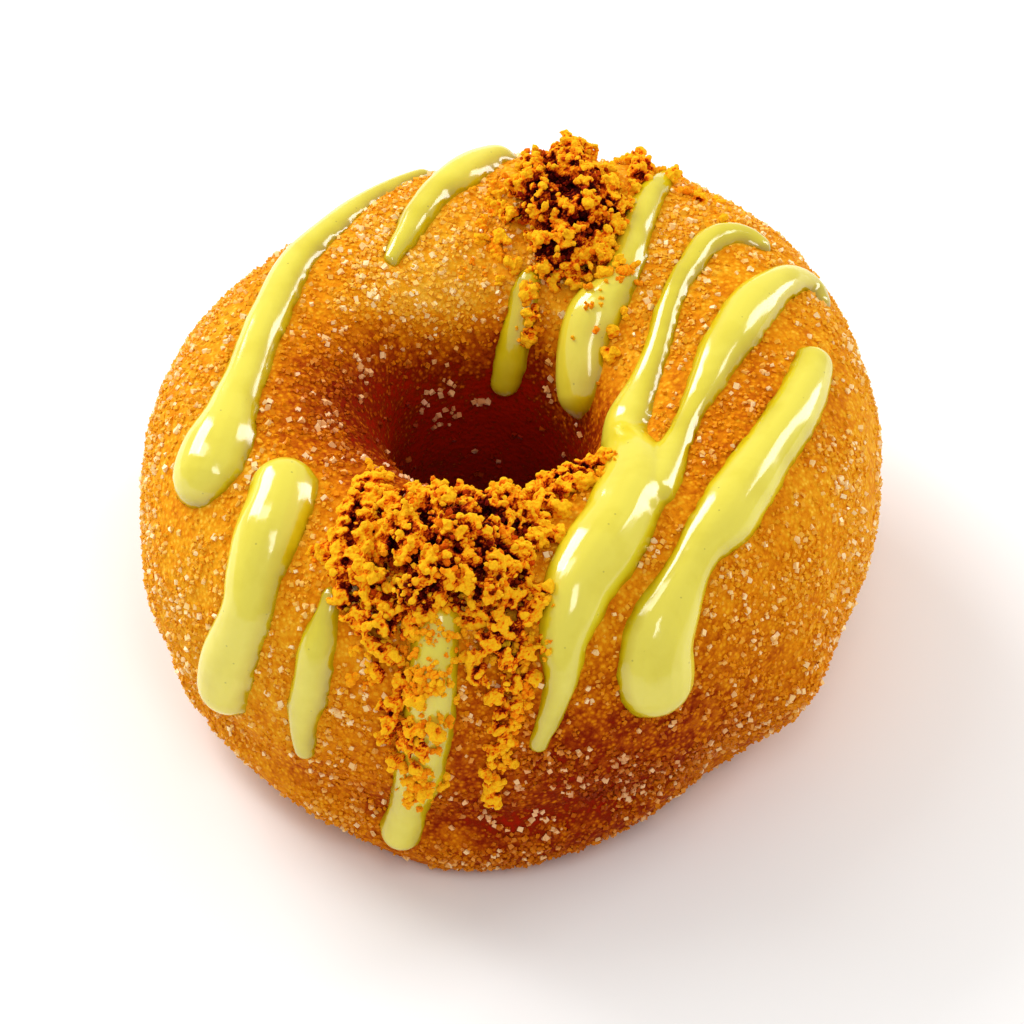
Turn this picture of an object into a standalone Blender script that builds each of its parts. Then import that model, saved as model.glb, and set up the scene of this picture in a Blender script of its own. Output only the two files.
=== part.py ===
"""Loaded doughnut: a sugared ring doughnut with thick sauce strokes and two heaps of biscuit crumb.

Metres, +Z up. The ring lies flat with its topped side up, standing on z = 0 about the Z axis.
A place on the ring is given by two angles in degrees: "around", anticlockwise from +X seen from above,
and "over", across the dough from the outermost line (0) by the crest (90) to the hole's wall (180).
"""
import math

import bmesh
import bpy
from mathutils import Vector, noise

MM = 0.001

# The ring
RING_DIAMETER = 60.0 * MM
HOLE_DIAMETER = 14.6 * MM
CREST_HEIGHT = 13.5 * MM       # crest above the ring's widest plane
ROUND_DEPTH = 14.6 * MM        # depth that the round underside would have
FLAT_DEPTH = 14.1 * MM         # the flat spot lies this far under the widest plane
SECTION_POWER = 2.4            # 2 would be an ellipse; more is fuller at the shoulders
HOLE_SHIFT = (-2.1 * MM, -1.8 * MM)
OVAL = 0.048                   # share by which the outline is longer on one diagonal
OVAL_TURN = 63.0               # degrees, the direction of that diagonal
LOBES = 0.009                  # three faint lobes in the outline
LOBES_TURN = -38.0
CREASE_OVER = -20.0            # the fold line low on the outer side
CREASE_DEPTH = 0.7 * MM
CREASE_WIDTH = 9.0             # degrees of "over" from the fold's bottom to its edges
SWELLINGS = (
    # (around, over) of the middle, reach both ways in degrees, height: where the dough swelled or sank in
    (-98, -50, 25, 32, 2.4 * MM),
    (-39, -16, 9, 16, 1.6 * MM),
    (-55, -38, 9, 14, -1.3 * MM),
    (128, 50, 34, 42, -1.0 * MM),
)
RING_PLACE = (0.17 * MM, 0.30 * MM)   # sets the whole object's box about the Z axis
MAJOR_SEGMENTS = 64
MINOR_SEGMENTS = 36

# What keeps the pieces apart, and how the sauce stands on the dough
GAP = 0.3 * MM
SAUCE_RISE = 0.34              # height of a stroke over its width
SAUCE_STEP = 1.9 * MM          # spacing of the sections along a stroke
ROUTE_STEPS = 24               # steps between two of a stroke's own points
END_SECTIONS = ((0.45, 0.88), (0.80, 0.55))   # (advance, size) in radii, rounding a stroke's ends

# The sauce strokes: (around, over, width in mm) along each one
SAUCE = {
    "sauce_long_left": [
        [(104, 43, 2.0), (113, 50, 2.3), (122, 59, 2.6), (131, 68, 3.0), (143, 75, 3.4), (161, 84, 3.4),
         (180, 85, 3.4), (191, 80, 4.0), (199, 71, 5.6), (209, 48, 6.7)],
    ],
    "sauce_low_left": [
        [(212, 90, 4.6), (219, 81, 5.4), (223, 67, 5.8), (226, 45, 5.1), (227, 28, 5.0), (223, -9, 5.1)],
    ],
    "sauce_back": [
        [(90, 48, 3.6), (96, 60, 4.0), (101, 71, 3.9), (107, 79, 3.2), (113, 87, 2.8), (131, 102, 1.2)],
    ],
    "sauce_front_left": [
        [(239, 62, 1.4), (240, 45, 2.3), (240, 33, 3.3), (240, 16, 3.3), (239, 4, 2.8), (239, -9, 1.4)],
    ],
    "sauce_front": [
        [(258, 66, 3.3), (258, 42, 3.7), (258, 18, 4.1), (257, 0, 4.0), (255, -15, 3.3), (253, -35, 3.1)],
    ],
    "sauce_hole_left": [
        [(83, 114, 2.0), (86, 136, 2.6), (91, 151, 2.7), (99, 167, 2.3)],
    ],
    "sauce_hole_right": [
        [(62, 50, 2.0), (61, 73, 2.4), (58, 88, 2.7), (53, 98, 2.9), (49, 111, 3.7), (49, 122, 4.9),
         (45, 135, 4.7), (33, 147, 4.8), (18, 158, 4.0)],
    ],
    "sauce_fork": [
        [(34, 60, 1.4), (39, 63, 2.4), (42, 73, 2.6), (40, 86, 2.3), (28, 102, 2.2), (12, 113, 2.3),
         (-3, 121, 3.0), (-23, 128, 4.7), (-39, 124, 4.2), (-54, 100, 5.6), (-69, 85, 6.2), (-80, 66, 6.6),
         (-82, 49, 4.5), (-83, 27, 2.5), (-88, 0, 1.3)],
        [(20, 48, 1.4), (26, 45, 2.2), (27, 56, 2.9), (25, 66, 3.5), (21, 77, 4.2), (14, 86, 4.4),
         (4, 92, 4.0), (-7, 96, 3.2), (-20, 99, 2.3), (-33, 99, 2.3), (-45, 96, 3.4), (-60, 88, 4.6)],
    ],
    "sauce_long_right": [
        [(7, 59, 3.3), (-12, 67, 4.2), (-26, 71, 4.2), (-38, 70, 4.8), (-45, 67, 4.7), (-52, 64, 3.8),
         (-57, 58, 3.5), (-62, 48, 4.6), (-67, 33, 6.2), (-68, 7, 6.3)],
    ],
}

# The crumb heaps: (around, over) of the middle, then half-length along X and Y, height in mm, and a seed
CRUMBS = {
    "crumb_heap_back": ((76, 90), 6.1, 7.9, 4.2, 11.0),
    "crumb_heap_front": ((-103, 88), 10.2, 7.2, 4.0, 37.0),
}
SAUCE_AT_CRUMBS = {
    "crumb_heap_back": ("sauce_back", "sauce_hole_left", "sauce_hole_right"),
    "crumb_heap_front": ("sauce_low_left", "sauce_front_left", "sauce_front", "sauce_fork"),
}
HEAP_SINK = 2.2 * MM           # a heap's middle lies this far under the dough's surface
HEAP_LUMP = 1.1 * MM           # depth of the heap's unevenness
HEAP_GRAIN = 4.2 * MM          # size of its lumps


def material(name, colour, roughness):
    """A Principled material of one colour."""
    made = bpy.data.materials.new(name)
    made.use_nodes = True
    shader = made.node_tree.nodes["Principled BSDF"]
    shader.inputs["Base Color"].default_value = (*colour, 1.0)
    shader.inputs["Roughness"].default_value = roughness
    shader.inputs["Metallic"].default_value = 0.0
    return made


def power(value, exponent):
    """value to an exponent, keeping its sign."""
    return math.copysign(abs(value) ** exponent, value)


def on_ring(around, over, clearance=0.0):
    """The point of the dough's surface at two angles in degrees, or that far outside it."""
    grow = clearance
    turn, tip = math.radians(around), math.radians(over)
    oval = OVAL * math.cos(2 * math.radians(around - OVAL_TURN))
    lobes = LOBES * math.cos(3 * math.radians(around - LOBES_TURN))
    outer = RING_DIAMETER / 2 * (1 + oval + lobes)
    inner = HOLE_DIAMETER / 2 + HOLE_SHIFT[0] * math.cos(turn) + HOLE_SHIFT[1] * math.sin(turn)
    middle, half = (outer + inner) / 2, (outer - inner) / 2
    fold = CREASE_DEPTH * math.exp(-((over - CREASE_OVER) / CREASE_WIDTH) ** 2)
    for at_around, at_over, reach_around, reach_over, high in SWELLINGS:
        turned = (around - at_around + 180) % 360 - 180
        tipped = (over - at_over + 180) % 360 - 180
        grow += high * math.exp(-(turned / reach_around) ** 2 - (tipped / reach_over) ** 2)
    rounding = 2 / SECTION_POWER
    height = CREST_HEIGHT if math.sin(tip) > 0 else ROUND_DEPTH
    radius = middle + (half - fold + grow) * power(math.cos(tip), rounding)
    rise = (height + grow) * power(math.sin(tip), rounding)
    rise = max(rise, -FLAT_DEPTH - clearance)
    return Vector((
        RING_PLACE[0] + radius * math.cos(turn), RING_PLACE[1] + radius * math.sin(turn), FLAT_DEPTH + rise))


def outward(around, over):
    """The direction straight out of the dough at two angles in degrees."""
    step = 1.0
    along = on_ring(around + step, over) - on_ring(around - step, over)
    across = on_ring(around, over + step) - on_ring(around, over - step)
    return along.cross(across).normalized()


def ring(name, clearance=0.0):
    """The dough: a torus primitive whose points are moved onto the ring's surface, or that far outside it."""
    bpy.ops.mesh.primitive_torus_add(
        major_segments=MAJOR_SEGMENTS, minor_segments=MINOR_SEGMENTS, major_radius=2.0, minor_radius=1.0)
    dough = bpy.context.object
    dough.name = name
    for vertex in dough.data.vertices:
        x, y, z = vertex.co
        around = math.degrees(math.atan2(y, x))
        over = math.degrees(math.atan2(z, math.hypot(x, y) - 2.0))
        vertex.co = on_ring(around, over, clearance)
    dough.data.shade_smooth()
    return dough


def smooth_route(points):
    """(around, over, width) at short steps along a smooth curve through a stroke's own points."""
    ends = [points[0], *points, points[-1]]
    route = []
    for before, start, stop, after in zip(ends, ends[1:], ends[2:], ends[3:]):
        for step in range(ROUTE_STEPS):
            t = step / ROUTE_STEPS
            route.append(tuple(
                0.5 * (2 * b + (c - a) * t + (2 * a - 5 * b + 4 * c - d) * t * t
                       + (3 * b - a - 3 * c + d) * t ** 3)
                for a, b, c, d in zip(before, start, stop, after)))
    route.append(tuple(points[-1]))
    return route


def section_places(points):
    """Evenly spaced places along a stroke, from half its width after one tip to half its width before the other."""
    route = smooth_route(points)
    travelled = [0.0]
    for here, there in zip(route, route[1:]):
        travelled.append(travelled[-1] + (on_ring(*there[:2]) - on_ring(*here[:2])).length)
    first = points[0][2] * MM / 2
    last = travelled[-1] - points[-1][2] * MM / 2
    count = max(3, round((last - first) / SAUCE_STEP))
    places = []
    for number in range(count + 1):
        wanted = first + (last - first) * number / count
        nearest = min(range(len(route)), key=lambda index: abs(travelled[index] - wanted))
        places.append(route[nearest])
    return places


def stroke_sections(points, grow):
    """(centre, radius) of the round sections that make one stroke, with both its ends rounded."""
    sections = []
    for around, over, width in section_places(points):
        wide, high = width * MM, width * MM * SAUCE_RISE
        radius = (wide * wide / 4 + high * high) / (2 * high)
        centre = on_ring(around, over) - outward(around, over) * (radius - high)
        sections.append((centre, radius + grow))
    for _ in range(2):
        (last, radius), (previous, _) = sections[-1], sections[-2]
        ahead = (last - previous).normalized()
        for advance, size in END_SECTIONS:
            sections.append((last + ahead * radius * advance, radius * size))
        sections.reverse()
    return sections


def stroke_tube(name, points, grow=0.0):
    """One stroke as a tube half sunk in the dough: a curve with a bevel, made a closed mesh."""
    sections = stroke_sections(points, grow)
    curve = bpy.data.curves.new(name, "CURVE")
    curve.dimensions = "3D"
    curve.bevel_depth = 1.0
    curve.bevel_resolution = 2
    curve.use_fill_caps = True
    spline = curve.splines.new("POLY")
    spline.points.add(len(sections) - 1)
    for point, (centre, radius) in zip(spline.points, sections):
        point.co = (*centre, 1.0)
        point.radius = radius
    guide = bpy.data.objects.new(name + "_route", curve)
    bpy.context.collection.objects.link(guide)
    bpy.context.view_layer.update()
    mesh = bpy.data.meshes.new_from_object(guide.evaluated_get(bpy.context.evaluated_depsgraph_get()))
    weld(mesh)
    tube = bpy.data.objects.new(name, mesh)
    tube.matrix_world = guide.matrix_world
    bpy.data.objects.remove(guide)
    return tube


def weld(mesh):
    """Joins a mesh's doubled points, so that its caps close it."""
    shape = bmesh.new()
    shape.from_mesh(mesh)
    bmesh.ops.remove_doubles(shape, verts=shape.verts, dist=0.01 * MM)
    bmesh.ops.recalc_face_normals(shape, faces=shape.faces)
    shape.to_mesh(mesh)
    shape.free()


def boolean(piece, operation, tool, use_self=False):
    """Joins or cuts a piece with another object, exactly."""
    cut = piece.modifiers.new(operation.title(), "BOOLEAN")
    cut.operation = operation
    cut.object = tool
    cut.use_self = use_self


def as_guide(tool, guides):
    """Keeps a cutter out of sight, in the cutters' own collection."""
    for home in list(tool.users_collection):
        home.objects.unlink(tool)
    guides.objects.link(tool)
    tool.hide_render = True
    tool.display_type = "WIRE"


def crumb_heap(name, place, half_x, half_y, height, seed):
    """A heap of crumb: a flattened ball with a lumpy surface, later cut by the dough under it."""
    bpy.ops.mesh.primitive_ico_sphere_add(subdivisions=4, radius=1.0)
    heap = bpy.context.object
    heap.name = name
    centre = on_ring(*place) - Vector((0, 0, HEAP_SINK))
    for vertex in heap.data.vertices:
        direction = vertex.co.normalized()
        spread = Vector((direction.x * half_x * MM, direction.y * half_y * MM,
                         direction.z * (height * MM + HEAP_SINK)))
        lump = noise.noise(spread / HEAP_GRAIN + Vector((seed, 0, 0))) * HEAP_LUMP
        vertex.co = centre + spread + direction * lump
    return heap


def build():
    """Makes the ring, the sauce and the crumb, each in its own object."""
    for thing in list(bpy.data.objects):
        bpy.data.objects.remove(thing)
    model = bpy.data.collections.new("loaded_doughnut")
    guides = bpy.data.collections.new("cutters")
    bpy.context.scene.collection.children.link(model)
    bpy.context.scene.collection.children.link(guides)
    bpy.context.view_layer.active_layer_collection = (
        bpy.context.view_layer.layer_collection.children[model.name])

    crust = material("fried_crust", (0.56, 0.24, 0.05), 0.6)
    sauce = material("green_sauce", (0.66, 0.62, 0.16), 0.25)
    crumb = material("biscuit_crumb", (0.50, 0.20, 0.03), 0.9)

    ring("doughnut").data.materials.append(crust)
    clearance = ring("dough_clearance", GAP)
    as_guide(clearance, guides)

    for name, branches in SAUCE.items():
        piece = stroke_tube(name, branches[0])
        model.objects.link(piece)
        for number, branch in enumerate(branches[1:], 1):
            arm = stroke_tube(f"{name}_arm_{number}", branch)
            as_guide(arm, guides)
            boolean(piece, "UNION", arm, use_self=True)
        boolean(piece, "DIFFERENCE", clearance)
        piece.data.materials.append(sauce)

    for name, (place, half_x, half_y, height, seed) in CRUMBS.items():
        heap = crumb_heap(name, place, half_x, half_y, height, seed)
        boolean(heap, "DIFFERENCE", clearance)
        for stroke in SAUCE_AT_CRUMBS[name]:
            for number, branch in enumerate(SAUCE[stroke]):
                room = stroke_tube(f"{stroke}_room_{number}", branch, GAP)
                as_guide(room, guides)
                boolean(heap, "DIFFERENCE", room)
        heap.data.materials.append(crumb)


build()
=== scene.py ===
"""The loaded doughnut: sugared fried crust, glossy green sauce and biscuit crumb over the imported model.

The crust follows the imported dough's own shape, each stroke of sauce runs along a route on it, and the
crumb is small grains run together into clumps, with loose ones strewn over them. The sugar comes last,
wherever the crust is still bare.
"""
import math

import bmesh
import bpy
import numpy as np
from mathutils import Matrix, Vector, noise
from mathutils.bvhtree import BVHTree
from mathutils.kdtree import KDTree


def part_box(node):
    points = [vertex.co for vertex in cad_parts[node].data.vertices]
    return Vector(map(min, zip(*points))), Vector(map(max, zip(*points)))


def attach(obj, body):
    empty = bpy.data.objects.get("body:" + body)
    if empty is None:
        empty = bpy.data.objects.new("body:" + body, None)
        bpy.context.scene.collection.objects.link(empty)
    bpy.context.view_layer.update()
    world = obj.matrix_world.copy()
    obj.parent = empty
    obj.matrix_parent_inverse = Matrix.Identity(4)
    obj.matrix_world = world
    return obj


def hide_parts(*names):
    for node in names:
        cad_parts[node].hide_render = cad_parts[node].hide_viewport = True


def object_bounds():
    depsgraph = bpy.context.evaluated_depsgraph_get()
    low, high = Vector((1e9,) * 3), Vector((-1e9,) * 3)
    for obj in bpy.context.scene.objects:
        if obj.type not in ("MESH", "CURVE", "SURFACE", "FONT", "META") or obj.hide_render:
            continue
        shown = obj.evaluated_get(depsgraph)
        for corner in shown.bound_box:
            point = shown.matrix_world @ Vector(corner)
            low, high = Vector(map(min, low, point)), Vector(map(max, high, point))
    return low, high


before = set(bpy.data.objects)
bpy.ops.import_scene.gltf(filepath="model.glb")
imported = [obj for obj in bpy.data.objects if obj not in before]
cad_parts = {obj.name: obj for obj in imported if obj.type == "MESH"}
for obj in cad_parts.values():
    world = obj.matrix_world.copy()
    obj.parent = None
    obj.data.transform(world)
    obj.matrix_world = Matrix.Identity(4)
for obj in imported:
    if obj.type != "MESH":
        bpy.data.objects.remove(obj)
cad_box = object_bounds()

MM = 0.001

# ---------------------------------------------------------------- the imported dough's own shape
# Places on the dough are given by two angles in degrees: around the ring, from the X axis, and over
# its round section, from the outer side (0) across the crest (90) to the hole's wall (180).
RING_DIAMETER = 60.0 * MM
HOLE_DIAMETER = 14.6 * MM
CREST_HEIGHT = 13.5 * MM
ROUND_DEPTH = 14.6 * MM
FLAT_DEPTH = 14.1 * MM
SECTION_POWER = 2.4
HOLE_SHIFT = (-2.1 * MM, -1.8 * MM)
OVAL, OVAL_TURN = 0.048, 63.0
LOBES, LOBES_TURN = 0.009, -38.0
CREASE_OVER, CREASE_DEPTH, CREASE_WIDTH = -20.0, 0.7 * MM, 9.0
SWELLINGS = (
    # (around, over) of the middle, reach both ways in degrees, height
    (-98, -50, 25, 32, 2.4 * MM),
    (-39, -16, 9, 16, 1.6 * MM),
    (-55, -38, 9, 14, -1.3 * MM),
    (128, 50, 34, 42, -1.0 * MM),
)

# ---------------------------------------------------------------- crust
SECTION_SIDES = 168
RING_STEPS = 420
FOOT = 0.5 * MM   # the crust has no relief below this height
CRUST_RELIEF = (
    # (size, depth, seed)
    (9.0 * MM, 0.34 * MM, 0.0),
    (3.6 * MM, 0.14 * MM, 7.0),
    (1.3 * MM, 0.07 * MM, 14.0),
)
GOLDEN, DARKEST = 0.25, 1.2   # level of plain golden crust, and of the hole's darkest wall, where browning and painted shade are deepest
# how much darker the crust gets towards the hole: browner frying together with painted shade
HOLE_BROWN_AND_SHADE = 0.77
HOLE_DARKENING_START = 112   # over, where the crust starts to turn dark towards the hole, browner and in painted shade
START_SHIFTS = (
    # (around, reach, shift) in degrees of the stretches where it turns dark later or, below 0, earlier, so
    # that the painted shade in the hole starts lower or higher
    (125, 25, 8),
    (85, 22, -14),
    (200, 28, -12),
)
SHADE_AND_LIGHT_PATCHES = (
    # (around, over) of the middle, reach both ways in degrees, how much darker (painted shade) or, below 0,
    # lighter (painted light)
    (335, 85, 42, 34, 0.26),
    (120, 116, 26, 22, -0.18),
    (160, 98, 30, 16, 0.15),
)
FRONT, FRONT_REACH, FRONT_SHADE = 282, 35, 0.58   # around of the side with painted shade low in front, its reach, how much darker
REAR, REAR_REACH, REAR_BROWN = 112, 55, 0.10

# ---------------------------------------------------------------- sugar
SUGAR = {
    # name: how many, smallest and largest, how pale they are from and to, their shine
    "sugar_dust": (16000, 0.16 * MM, 0.28 * MM, 0.00, 0.42, 0.04),
    "sugar_grains": (11500, 0.24 * MM, 0.40 * MM, 0.00, 0.55, 0.06),
    "sugar_crystals": (2300, 0.22 * MM, 0.46 * MM, 0.65, 1.00, 0.60),
}
SUGAR_PATCH = (120, 108, 34, 30, 1.8)   # where most sugar stuck, as in SHADE_AND_LIGHT_PATCHES
SUGAR_FOOT = 0.45 * MM   # no sugar lies below this height
CRYSTALS_IN_CLUMP = 6
SUGAR_CLUMPS = (
    # (around, over) of the clumps that stick in the hole and by the crumb
    (133, 162), (147, 165), (130, 173), (139, 175), (112, 170), (163, 111), (172, 131),
    (201, 116), (204, 109), (242, 112), (232, 128), (276, 127), (10, 165), (300, 170), (60, 160),
    (168, 130), (242, 119), (210, 81), (140, 111), (247, 31), (248, 17), (250, 21), (245, 11), (271, -6),
    (278, -10), (288, -21), (276, -26), (273, -19), (267, -20), (286, -2), (283, 13),
)

# ---------------------------------------------------------------- sauce
SAUCE_RISE = 0.36   # height of a stroke over its width
SAUCE_STEP = 0.7 * MM
SAUCE_BED = 0.5 * MM
SAUCE_VOXEL = 0.2 * MM
SAUCE_EDGE = 0.45 * MM   # a stroke counts as edge up to this height
SAUCE_EDGE_RELIEF = ((1.3 * MM, 0.16 * MM, 20.0), (0.6 * MM, 0.07 * MM, 30.0))   # as CRUST_RELIEF
TIP_SHARES = (0.30, 0.55, 0.75, 0.90, 0.98)   # of the radius, where a round end has its sections
SAUCE = {
    # (around, over, width in mm) along each stroke
    "sauce_long_left": [
        [(104, 43, 2.0), (113, 50, 2.3), (122, 59, 2.6), (131, 68, 3.0), (143, 75, 3.4), (161, 84, 3.4),
         (180, 85, 3.4), (191, 80, 4.0), (199, 71, 5.6), (209, 48, 6.7)],
    ],
    "sauce_low_left": [
        [(212, 90, 4.6), (219, 81, 5.4), (223, 67, 5.8), (226, 45, 5.1), (227, 28, 5.0), (223, -9, 5.1)],
    ],
    "sauce_back": [
        [(90, 48, 3.6), (96, 60, 4.0), (101, 71, 3.9), (107, 79, 3.2), (113, 87, 2.8), (131, 102, 1.2)],
    ],
    "sauce_front_left": [
        [(239, 62, 1.4), (240, 45, 2.3), (240, 33, 3.3), (240, 16, 3.3), (239, 4, 2.8), (239, -9, 1.4)],
    ],
    "sauce_front": [
        [(258, 66, 3.3), (258, 42, 3.7), (258, 18, 4.1), (257, 0, 4.0), (255, -15, 3.3), (253, -35, 3.1)],
    ],
    "sauce_hole_left": [
        [(83, 114, 2.0), (86, 136, 2.6), (91, 151, 2.7), (99, 167, 2.3)],
    ],
    "sauce_hole_right": [
        [(62, 50, 2.0), (61, 73, 2.4), (58, 88, 2.7), (53, 98, 2.9), (49, 111, 3.7), (49, 122, 4.9),
         (45, 135, 4.7), (33, 147, 4.8), (18, 158, 4.0)],
    ],
    "sauce_fork": [
        [(34, 60, 1.4), (39, 63, 2.4), (42, 73, 2.6), (40, 86, 2.3), (28, 102, 2.2), (12, 113, 2.3),
         (-3, 121, 3.0), (-23, 128, 4.7), (-39, 124, 4.2), (-54, 100, 5.6), (-69, 85, 6.0), (-77, 71, 5.6),
         (-80, 58, 4.9), (-82, 45, 3.9), (-83, 27, 2.6), (-87, 2, 1.3)],
        [(20, 48, 1.4), (26, 45, 2.2), (27, 56, 2.9), (25, 66, 3.5), (21, 77, 4.2), (14, 86, 4.4),
         (4, 92, 4.0), (-7, 96, 3.2), (-20, 99, 2.3), (-33, 99, 2.3), (-45, 96, 3.4), (-60, 88, 4.6)],
    ],
    "sauce_long_right": [
        [(7, 59, 3.3), (-12, 67, 4.2), (-26, 71, 4.2), (-38, 70, 4.8), (-45, 67, 4.7), (-52, 64, 3.8),
         (-57, 58, 3.5), (-62, 48, 4.6), (-67, 33, 6.2), (-68, 7, 6.3)],
    ],
}

# ---------------------------------------------------------------- crumb
GRAIN_SIZE = (0.48 * MM, 1.10 * MM)   # of the grains that a clump is baked from
CLUMP_SIZE = (1.8 * MM, 3.8 * MM)
CLUMP_GRAINS = 14   # in the smallest clump
CLUMP_GAP = 1.55 * MM
CLUMP_TRIES = 900   # places tried for the clumps of a heap
GRAINS_IN_CRUMB = 4
HEAP_RELIEF = (3.4 * MM, 1.2 * MM)   # (size, depth) of the hollows between the heap's lumps
HEAP_VOIDS = 2.8 * MM   # size of the places with no clumps
HEAP_MARGIN = 0.35 * MM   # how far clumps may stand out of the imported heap
HEAP_VOXEL = 0.13 * MM
HEAP_GAPS = 2.4 * MM   # depth of the gaps between clumps
CRUMB_RELIEF = ((0.55 * MM, 0.20 * MM, 2.0), (0.26 * MM, 0.12 * MM, 8.0))   # as CRUST_RELIEF
PACKED_VOXEL = 0.3 * MM   # of the sunk heap that shows in the gaps
PACKED_RELIEF = ((1.5 * MM, 0.5 * MM, 3.0),)
PACKED_LEAST = 0.12 * MM   # its least height over the crust
HEAPS = {
    # name: how many fine loose grains lie on it
    "crumb_heap_back": 700,
    "crumb_heap_front": 1100,
}
RIDGE = ((240, 64), (232, 97))   # (around, over) from and to of the front heap's packed edge
RIDGE_CLUMPS = 11
RIDGE_ROWS = (
    # how far aside in degrees, height above the crust, size of the clumps
    (0.0, 1.5 * MM, 1.6 * MM),
    (4.5, 1.5 * MM, 2.1 * MM),
    (1.0, 0.6 * MM, 2.1 * MM),
)
CLUSTERS = (
    # (around, over, size in mm) of the clumps beside the heaps, on the sauce and on the hole's rim
    (236, 72, 2.2), (239, 65, 2.1), (242, 57, 2.4), (245, 50, 2.4), (246, 58, 2.3), (249, 51, 2.7),
    (251, 56, 2.4), (244, 66, 2.6), (249, 65, 2.4), (253, 61, 2.3), (254, 50, 2.0), (249, 42, 2.3),
    (252, 38, 2.0), (250, 31, 1.3), (254, 29, 2.1), (257, 25, 1.8), (253, 21, 2.0), (259, 17, 1.6),
    (253, 13, 2.4), (256, 10, 2.2), (252, 7, 1.8), (254, 2, 1.9), (257, 3, 1.5), (258, -3, 1.8),
    (264, 64, 2.4), (270, 66, 2.4), (275, 66, 2.2), (268, 57, 2.7), (273, 58, 2.4), (266, 49, 2.4),
    (271, 50, 2.3), (264, 42, 2.0), (269, 41, 2.5), (274, 44, 2.2), (265, 34, 2.1), (270, 32, 2.2),
    (273, 33, 1.6), (267, 26, 1.7), (270, 23, 1.3), (268, 14, 1.3), (267, 6, 1.4), (266, -1, 1.5),
    (267, -9, 1.9), (270, 1, 0.9), (268, 19, 1.0), (269, 10, 1.0), (267, 2, 1.1), (267, -5, 1.2),
    (256, 15, 1.9), (258, 9, 1.7), (251, 18, 1.3), (277, 114, 2.2), (283, 118, 2.3), (290, 119, 2.3),
    (297, 117, 2.4), (303, 112, 1.8), (280, 106, 2.4), (286, 109, 2.4), (293, 109, 2.1), (276, 99, 2.5),
    (282, 98, 2.3), (277, 89, 2.2), (281, 89, 1.7), (69, 50, 2.1), (66, 58, 2.1), (65, 68, 2.2),
    (64, 78, 2.2), (63, 88, 2.3), (61, 97, 2.2), (59, 105, 2.0), (68, 112, 2.1), (73, 118, 2.0),
    (64, 116, 1.8), (54, 110, 1.6), (82, 125, 1.8), (80, 133, 1.9), (79, 141, 1.6), (93, 92, 1.7),
    (94, 104, 1.8), (91, 115, 1.8), (34, 123, 1.2), (25, 129, 1.2), (60, 60, 1.8), (53, 63, 1.5),
)
TRAILS = (
    # (around, over) from and to, spread in mm, how many crumbs
    ((258, 62), (257, -8), 2.4, 170),
    ((252, 46), (248, 30), 2.4, 30),
    ((274, 62), (268, 30), 2.6, 70),
    ((272, 30), (267, -8), 0.8, 60),
    ((50, 100), (46, 128), 2.2, 22),
    ((82, 118), (79, 144), 1.2, 16),
    ((72, 52), (42, 60), 2.2, 36),
    ((277, 118), (303, 112), 1.8, 40),
    ((94, 84), (102, 114), 3.0, 60),
    ((232, 90), (228, 118), 1.6, 16),
)

# ---------------------------------------------------------------- light and camera
LIGHTS = {
    # name: place, width and height in metres, watts
    "key": ((-0.44, 0.44, 0.38), 0.36, 0.40, 3.5),
    "side": ((0.50, 0.29, 0.24), 0.16, 0.45, 1.3),
    "left": ((-0.33, 0.18, 0.53), 0.16, 0.32, 0.65),
    "front": ((0.06, -0.29, 0.52), 0.13, 0.24, 0.45),
}
ROOM_COLOUR = (1.0, 0.975, 0.95, 1.0)
ROOM_LIGHT = 0.67
FLOOR_SIZE = 3.0
FLOOR_COLOUR = (0.94, 0.94, 0.94, 1.0)
CAMERA_ELEVATION = 45.0
CAMERA_DISTANCE = 0.60
CAMERA_LENS, CAMERA_SENSOR = 264.3, 36.0
CAMERA_AIM_SIDE = 0.1 * MM
CAMERA_AIM_HEIGHT = 11.3 * MM


# ================================================================ materials

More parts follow.
